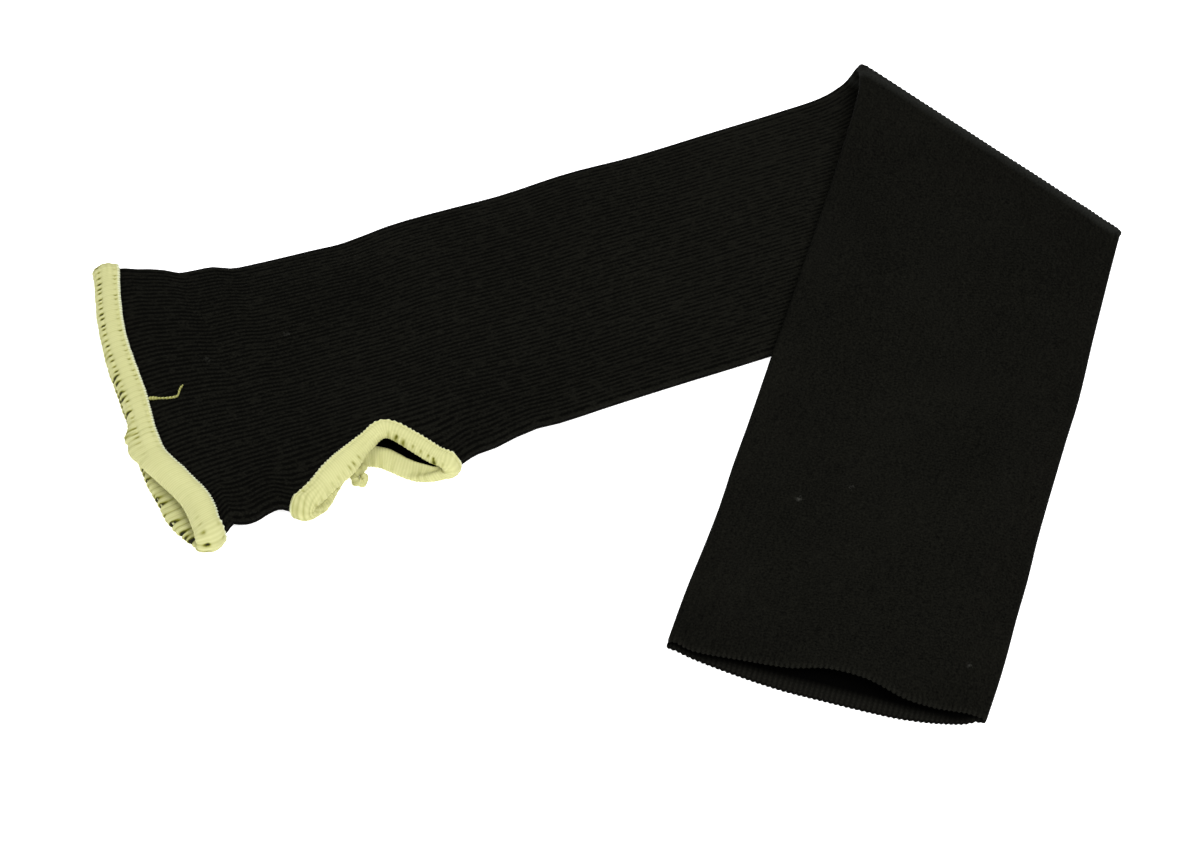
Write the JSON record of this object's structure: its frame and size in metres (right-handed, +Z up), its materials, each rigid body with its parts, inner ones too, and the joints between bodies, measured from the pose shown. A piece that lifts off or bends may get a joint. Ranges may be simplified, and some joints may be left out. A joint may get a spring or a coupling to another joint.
{
  "type": "heat-resistant sleeve",
  "caption": "Knitted heat-resistant arm sleeve, a seamless tube with overlocked edging at the hand and the thumb hole, lying flat and folded across its middle.",
  "frame": {"origin": "middle of the floor area that the folded sleeve covers, on the floor", "axes": "+X to the right along the longest extent, +Y away from the viewer, +Z up through the folded layers"},
  "size_m": [0.353, 0.2748, 0.0162],
  "materials": {
    "black_knit": "matt rib knit of black fibre",
    "hand_yarn": "matt pale yellow overlock yarn",
    "thumb_yarn": "matt pale yellow overlock yarn"
  },
  "bodies": {
    "root": {"knit_tube": "black_knit", "hand_edging": "hand_yarn", "thumb_edging": "thumb_yarn"}
  },
  "joints": []
}
